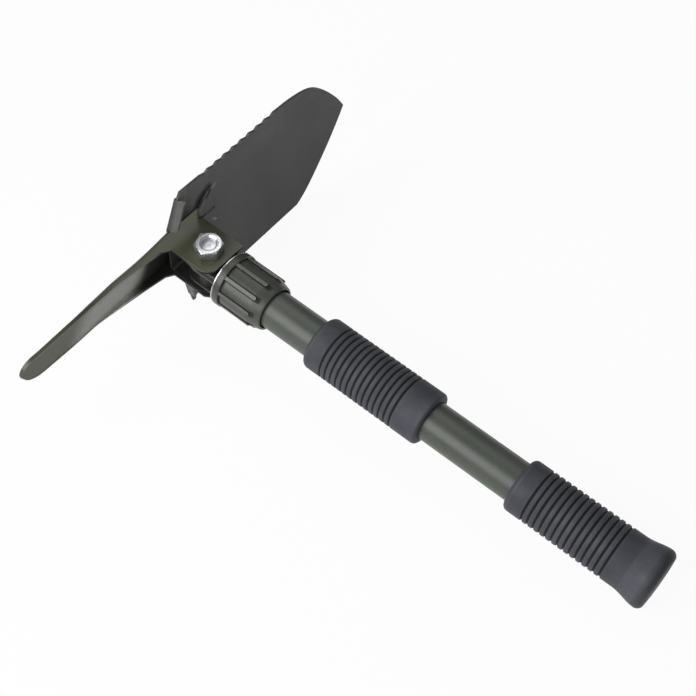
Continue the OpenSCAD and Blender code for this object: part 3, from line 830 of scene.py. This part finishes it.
def make_fork(sizes, colours):
    """Fork with its threaded barrel and spigot, the sleeve between its tines, and the cross pins."""
    bm = cad_copy("pivot_fork")
    round_edges(bm, sharp_edges(bm), sizes.cast_radius, 2)
    finish_piece("pivot_fork_body", bm, painted("fork_paint", colours.fork, 0.38, 0.12, 0.14),
                 "handle", ["pivot_fork"])
    steel = bare_metal("plain_steel", colours.steel, 0.34, 0.3)
    bottom, top = upright("spacer_sleeve")
    inner, outer, chamfer = BOLT_HOLE, 7.0, 0.3
    bm = bmesh.new()
    loops = [loop_at(bottom, 4.4), loop_at(bottom, outer - chamfer), loop_at(bottom + chamfer, outer),
             loop_at(top - chamfer, outer), loop_at(top, outer - chamfer), loop_at(top, 4.4),
             loop_at(top - chamfer, inner), loop_at(bottom + chamfer, inner)]
    ringed(bm, loops + [loops[0]])
    finish_piece("spacer_sleeve_tube", bm, steel, "handle", ["spacer_sleeve"])
    bm = cad_copy("fork_pins")
    round_edges(bm, sharp_edges(bm), 0.15 * MM, 2)
    finish_piece("fork_cross_pins", bm, steel, "handle", ["fork_pins"])


# ---------- lock collar ----------

RIB_COUNT = 10
RIB_TURN = 3.3
COLLAR_RADIUS = 14.0
# the ring is shorter than its solid by this, so that the collar turns free of it
RING_GAP = 0.04


def collar_tint(tree, place, base):
    """Painted shade beside the ribs and behind the band, and paler rib tops."""
    x, y, z = axes(tree, place)
    turn = maths(tree, "SUBTRACT", maths(tree, "ARCTAN2", times(tree, y, -1.0), z), radians(RIB_TURN))
    steps = maths(tree, "ADD", times(tree, turn, RIB_COUNT / tau), 0.5)
    aside = maths(tree, "ABSOLUTE", maths(tree, "SUBTRACT", maths(tree, "FRACT", steps), 0.5))
    aside = times(tree, aside, tau / RIB_COUNT * COLLAR_RADIUS * MM)
    height = off_axis(tree, y, z)
    low = ramp(tree, height, 14.55, 14.35)
    on_ribs = band(tree, x, (-17.5, -18.2), (-40.4, -39.2), PIVOT.x)
    # painted shade beside the ribs and behind the band, also made dull
    beside = times(tree, ramp(tree, aside, 2.05, 1.3), on_ribs, low)
    behind = times(tree, band(tree, x, (-17.6, -17.9), (-19.8, -18.6), PIVOT.x), low)
    tops = times(tree, ramp(tree, aside, 0.95, 0.6), ramp(tree, height, 14.4, 14.6), on_ribs)
    body = shaded(tree, shaded(tree, base, beside, 0.28), behind, 0.45)
    return shaded(tree, body, tops, 1.9), times(tree, maths(tree, "MAXIMUM", beside, behind), 0.8)


def make_ribs(start, end, radius):
    """The ribs of the collar between two distances from the pivot, as a mesh of their own."""
    width, height, top, end_round = 1.9, 1.85, 14.65, 0.94
    ribs = bmesh.new()
    bmesh.ops.create_cube(ribs, size=1.0)
    bmesh.ops.scale(ribs, verts=ribs.verts, vec=((end - start) * MM, width * MM, height * MM))
    bmesh.ops.translate(ribs, verts=ribs.verts, vec=spot(-(start + end) / 2, 0, top - height / 2))
    ends = [e for e in ribs.edges if abs((e.verts[0].co - e.verts[1].co).z) > MM
            and e.verts[0].co.x < PIVOT.x - 30 * MM]
    bmesh.ops.bevel(ribs, geom=ends, offset=end_round * MM, offset_type="OFFSET", segments=5, profile=0.5,
                    affect="EDGES", clamp_overlap=True, material=-1)
    round_edges(ribs, [e for e in sharp_edges(ribs) if all(v.co.z > 14 * MM for v in e.verts)], radius, 3)
    bmesh.ops.rotate(ribs, verts=ribs.verts, cent=(0, 0, 0),
                     matrix=Matrix.Rotation(radians(RIB_TURN), 4, "X"))
    bmesh.ops.spin(ribs, geom=ribs.verts[:] + ribs.edges[:] + ribs.faces[:], cent=(0, 0, 0), axis=(1, 0, 0),
                   angle=tau * (RIB_COUNT - 1) / RIB_COUNT, steps=RIB_COUNT - 1, use_duplicate=True)
    outward(ribs)
    mesh = bpy.data.meshes.new("ribs")
    ribs.to_mesh(mesh)
    ribs.free()
    return mesh


def make_collar(sizes, colours):
    """Screwed collar with a front band, raised ribs and a tapered rear end, and its bare steel ring."""
    front, rear, _ = lengthwise("lock_collar")
    bore, rear_bore = 12.3, 11.05
    bm = bmesh.new()
    turned(bm, [(front, bore), (front, 14.75), (front + 0.25, 15.0), (17.4, 15.0), (17.75, 14.9),
                (17.95, 14.6), (18.02, 13.8), (18.4, 13.75), (18.75, COLLAR_RADIUS), (35.9, COLLAR_RADIUS),
                (36.6, 13.93), (41.6, 12.55), (42.4, 12.32), (rear - 0.1, 12.15), (rear, 11.95), (rear, 11.3),
                (rear - 0.25, rear_bore), (28.1, rear_bore), (28.0, bore)])
    ribs = make_ribs(17.0, rear - 5.2, sizes.rib_radius)
    bm.from_mesh(ribs)
    bpy.data.meshes.remove(ribs)
    paint = painted("collar_paint", colours.collar, 0.34, 0.12, 0.14, tint=collar_tint)
    finish_piece("lock_collar_ribbed", bm, paint, "collar", ["lock_collar"])
    front, rear, _ = lengthwise("collar_ring")
    rear -= RING_GAP
    bm = bmesh.new()
    turned(bm, [(front, bore + 0.2), (front, 14.65), (front + 0.08, 14.82), (front + 0.25, 14.9),
                (rear - 0.1, 14.9), (rear, 14.8), (rear, bore), (front + 0.2, bore)])
    finish_piece("collar_ring_steel", bm, bare_metal("ring_steel", colours.steel, 0.22, 0.15), "ring",
                 ["collar_ring"])


# ---------- handle ----------

TUBE_WALL = 1.2
GRIP_BORE = 10.32
END_GRIP_RADIUS = 13.65
FRONT_ROUND = 2.6
GROOVE_COUNT, GROOVE_PITCH, GROOVE_DEPTH, GROOVE_HALF = 14, 3.25, 0.7, 0.52


def make_tube(sizes, colours):
    """Painted handle tube with rounded rims."""
    front, rear, outer = lengthwise("handle_tube")
    bore = outer - TUBE_WALL
    bm = bmesh.new()
    turned(bm, [(front, bore + 0.3), (front, outer - 0.4), (front + 0.12, outer - 0.12), (front + 0.4, outer),
                (rear - 0.4, outer), (rear, outer - 0.4), (rear, bore + 0.2), (rear - 0.2, bore),
                (front + 0.3, bore)], 128)
    finish_piece("handle_tube_painted", bm, painted("tube_paint", colours.tube, 0.38, 0.10, 0.08),
                 "handle", ["handle_tube"])


def ridges(first, radius, soft):
    """Outline of the grooves from the middle of the first one, each with a round floor and soft edges."""
    side, floor = GROOVE_HALF + soft, radius - GROOVE_DEPTH
    bend = [(side - soft * sin(radians(a)), radius - soft * (1 - cos(radians(a))))
            for a in (30, 60, 85)]
    half = [(side, radius), *bend, (GROOVE_HALF - 0.12, floor + 0.18), (GROOVE_HALF - 0.32, floor)]
    points = []
    for i in range(GROOVE_COUNT):
        at = first + i * GROOVE_PITCH
        points += [(at - x, y) for x, y in half] + [(at + x, y) for x, y in reversed(half)]
    return points


def grip_front(front, first, radius, soft):
    """Outline of a grip from its bore to its last groove. The first groove is that far behind its front."""
    return ([(front + 0.3, GRIP_BORE), (front, GRIP_BORE + 0.3), (front, radius - FRONT_ROUND)]
            + arc((front + FRONT_ROUND, radius - FRONT_ROUND), FRONT_ROUND, 180, 90)[1:]
            + ridges(front + first, radius, soft))


def make_grips(sizes, colours):
    """Middle grip and end grip with its flared, closed butt."""
    soft = sizes.ridge_radius / MM
    front, rear, radius = lengthwise("middle_grip")
    bm = bmesh.new()
    turned(bm, grip_front(front, 11, radius, soft) + arc((rear - 2.0, radius - 2.0), 2.0, 90, 0)
           + [(rear, GRIP_BORE + 0.3), (rear - 0.3, GRIP_BORE)], 128)
    mark_ridges(bm, radius)
    skin = rubber("grip_rubber", colours.rubber, radius, front + 9, front + 55.5)
    finish_piece("middle_grip_rubber", bm, skin, "handle", ["middle_grip"])
    front, rear, butt = lengthwise("end_grip")
    radius, floor = END_GRIP_RADIUS, rear - 4.1
    bm = bmesh.new()
    flare = [(rear - 16 + 12.4 * i / 12, radius + (butt - radius) * (1 - cos(pi * i / 12)) / 2)
             for i in range(13)]
    turned(bm, [(floor, 0), (floor, GRIP_BORE - 0.2), (floor - 0.2, GRIP_BORE)]
           + grip_front(front, 10.6, radius, soft) + flare + arc((rear - 3.9, butt - 3.6), 3.6, 90, 20, 8)[1:]
           + [(rear - 0.3, butt - 4.6), (rear - 0.12, 8.0), (rear, 4.0), (rear, 0)], 128)
    mark_ridges(bm, radius)
    skin = rubber("end_grip_rubber", colours.rubber, radius, front + 8.6, front + 55)
    finish_piece("end_grip_rubber", bm, skin, "handle", ["end_grip"])


def mark_ridges(bm, radius):
    """Marks the crowns of the ridges as rubbed."""
    layer = bm.faces.layers.float.new(EDGE_WEAR_AND_HIGHLIGHT)
    for face in bm.faces:
        centre = face.calc_center_median()
        outside = hypot(centre.y, centre.z) > (radius - 0.3) * MM
        if outside and 0.1 < abs(face.normal.x) < 0.9:
            face[layer] = 1.0


# ---------- stage ----------

# picture plane of the camera in the row frame, and where it stands
CAMERA_RIGHT = Vector((-0.77554692, -0.63011649, 0.0384732))
CAMERA_UP = Vector((0.54899055, -0.64309965, 0.53388408))
CAMERA_PLACE = Vector((-0.014483, 0.267759, 0.531172))
CAMERA_LENS = 67.1
FLOOR_TILT = 6.36
FLOOR_HEIGHT = -0.0156
LAMP_TARGET = Vector((0.17, 0, 0))


def lamp(name, direction, distance, width, height, power, target):
    """A soft rectangular lamp that faces the target."""
    data = bpy.data.lights.new(name, "AREA")
    data.shape = "RECTANGLE"
    data.size, data.size_y = width, height
    data.energy = power
    light = linked(name, data)
    light.rotation_mode = "QUATERNION"
    back = Vector(direction).normalized()
    light.location = target + back * distance
    light.rotation_quaternion = (-back).to_track_quat("-Z", "Y")


def make_floor(shadow):
    """White floor that shows as pure white, apart from a share of the shadow on it."""
    bm = bmesh.new()
    bmesh.ops.create_grid(bm, x_segments=8, y_segments=8, size=4.0)
    tilt = Matrix.Rotation(radians(FLOOR_TILT), 4, "Y")
    bmesh.ops.transform(bm, matrix=Matrix.Translation((0, 0, FLOOR_HEIGHT)) @ tilt, verts=bm.verts)
    mesh = bpy.data.meshes.new("floor")
    bm.to_mesh(mesh)
    bm.free()
    floor = linked("floor", mesh)
    material = bpy.data.materials.new("floor_white")
    tree = cleared(material)
    diffuse = add(tree, "ShaderNodeBsdfDiffuse", {"Color": (0.86, 0.86, 0.86, 1)}).outputs[0]
    glow = add(tree, "ShaderNodeEmission", {"Color": WHITE, "Strength": 1.0}).outputs[0]
    path = add(tree, "ShaderNodeLightPath").outputs
    seen = maths(tree, "MAXIMUM", path["Is Camera Ray"], path["Is Glossy Ray"])
    blend = add(tree, "ShaderNodeMixShader", {0: times(tree, seen, 1.0 - shadow), 1: diffuse, 2: glow})
    add(tree, "ShaderNodeOutputMaterial", {"Surface": blend.outputs[0]})
    mesh.materials.append(material)


def make_stage(light):
    """White floor under the shovel, soft lamps and the camera of the photograph."""
    scene = bpy.context.scene
    make_floor(light.shadow)

    world = bpy.data.worlds.new("studio")
    scene.world = world
    tree = cleared(world)
    path = add(tree, "ShaderNodeLightPath").outputs
    strength = mapped(tree, path["Is Camera Ray"], 0.0, 1.0, light.fill, 1.0)
    sky = add(tree, "ShaderNodeBackground", {"Color": WHITE, "Strength": strength})
    add(tree, "ShaderNodeOutputWorld", {"Surface": sky.outputs[0]})

    lamp("key", (0.31, 0.76, 0.58), 0.9, 0.9, 0.7, light.key, LAMP_TARGET)
    lamp("top", (0.35, -0.35, 0.87), 0.9, 0.6, 0.6, light.top, LAMP_TARGET)

    data = bpy.data.cameras.new("camera")
    data.lens, data.sensor_width = CAMERA_LENS, 36
    data.clip_start, data.clip_end = 0.01, 20
    camera = linked("camera", data)
    right, up = CAMERA_RIGHT.normalized(), CAMERA_UP.normalized()
    turn = Matrix((right, up, right.cross(up))).transposed()
    camera.matrix_world = Matrix.Translation(CAMERA_PLACE) @ turn.to_4x4()
    scene.camera = camera
    scene.view_settings.view_transform = "Standard"


# ---------- add-on ----------

class PieceOperator:
    """Shared part of the operators that build one piece or a group of like pieces."""
    bl_options = {"REGISTER", "UNDO"}

    def execute(self, context):
        self.build(context.scene.camp_shovel_sizes, context.scene.camp_shovel_colours)
        return {"FINISHED"}


class SHOVEL_OT_blade(PieceOperator, bpy.types.Operator):
    """Build the painted blade"""
    bl_idname = "camp_shovel.blade"
    bl_label = "Blade"
    build = staticmethod(make_blade)


class SHOVEL_OT_pick(PieceOperator, bpy.types.Operator):
    """Build the painted pick"""
    bl_idname = "camp_shovel.pick"
    bl_label = "Pick"
    build = staticmethod(make_pick)


class SHOVEL_OT_nut(PieceOperator, bpy.types.Operator):
    """Build the nut of the pivot"""
    bl_idname = "camp_shovel.nut"
    bl_label = "Pivot nut"
    build = staticmethod(make_nut)


class SHOVEL_OT_bolt(PieceOperator, bpy.types.Operator):
    """Build the bolt of the pivot"""
    bl_idname = "camp_shovel.bolt"
    bl_label = "Pivot bolt"
    build = staticmethod(make_bolt)


class SHOVEL_OT_fork(PieceOperator, bpy.types.Operator):
    """Build the fork, its sleeve and its pins"""
    bl_idname = "camp_shovel.fork"
    bl_label = "Fork, sleeve and pins"
    build = staticmethod(make_fork)


class SHOVEL_OT_collar(PieceOperator, bpy.types.Operator):
    """Build the lock collar and its steel ring"""
    bl_idname = "camp_shovel.collar"
    bl_label = "Lock collar"
    build = staticmethod(make_collar)


class SHOVEL_OT_tube(PieceOperator, bpy.types.Operator):
    """Build the handle tube"""
    bl_idname = "camp_shovel.tube"
    bl_label = "Handle tube"
    build = staticmethod(make_tube)


class SHOVEL_OT_grips(PieceOperator, bpy.types.Operator):
    """Build both rubber grips"""
    bl_idname = "camp_shovel.grips"
    bl_label = "Grips"
    build = staticmethod(make_grips)


class SHOVEL_OT_stage(bpy.types.Operator):
    """Set the floor, the lamps and the camera"""
    bl_idname = "camp_shovel.stage"
    bl_label = "Stage"
    bl_options = {"REGISTER", "UNDO"}

    def execute(self, context):
        make_stage(context.scene.camp_shovel_light)
        return {"FINISHED"}


PIECES = [SHOVEL_OT_blade, SHOVEL_OT_pick, SHOVEL_OT_fork, SHOVEL_OT_bolt, SHOVEL_OT_nut, SHOVEL_OT_collar,
          SHOVEL_OT_tube, SHOVEL_OT_grips, SHOVEL_OT_stage]
SETTINGS = [("camp_shovel_sizes", CampShovelSizes), ("camp_shovel_colours", CampShovelColours),
            ("camp_shovel_light", CampShovelLight)]


class SHOVEL_PT_panel(bpy.types.Panel):
    """Sizes, colours and light of the camp shovel"""
    bl_idname = "SHOVEL_PT_panel"
    bl_label = "Camp shovel"
    bl_space_type = "VIEW_3D"
    bl_region_type = "UI"
    bl_category = "Camp shovel"

    def draw(self, context):
        for name, group in SETTINGS:
            settings = getattr(context.scene, name)
            box = self.layout.box()
            for field in group.__annotations__:
                box.prop(settings, field)
        for operator in PIECES:
            self.layout.operator(operator.bl_idname)


def register():
    for cls in [group for _, group in SETTINGS] + PIECES + [SHOVEL_PT_panel]:
        bpy.utils.register_class(cls)
    for name, group in SETTINGS:
        setattr(bpy.types.Scene, name, bpy.props.PointerProperty(type=group))


def unregister():
    for name, _ in SETTINGS:
        delattr(bpy.types.Scene, name)
    for cls in [SHOVEL_PT_panel] + PIECES[::-1] + [group for _, group in SETTINGS]:
        bpy.utils.unregister_class(cls)


def main():
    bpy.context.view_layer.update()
    register()
    for operator in PIECES:
        group, name = operator.bl_idname.split(".")
        getattr(getattr(bpy.ops, group), name)()


if __name__ == "__main__":
    main()
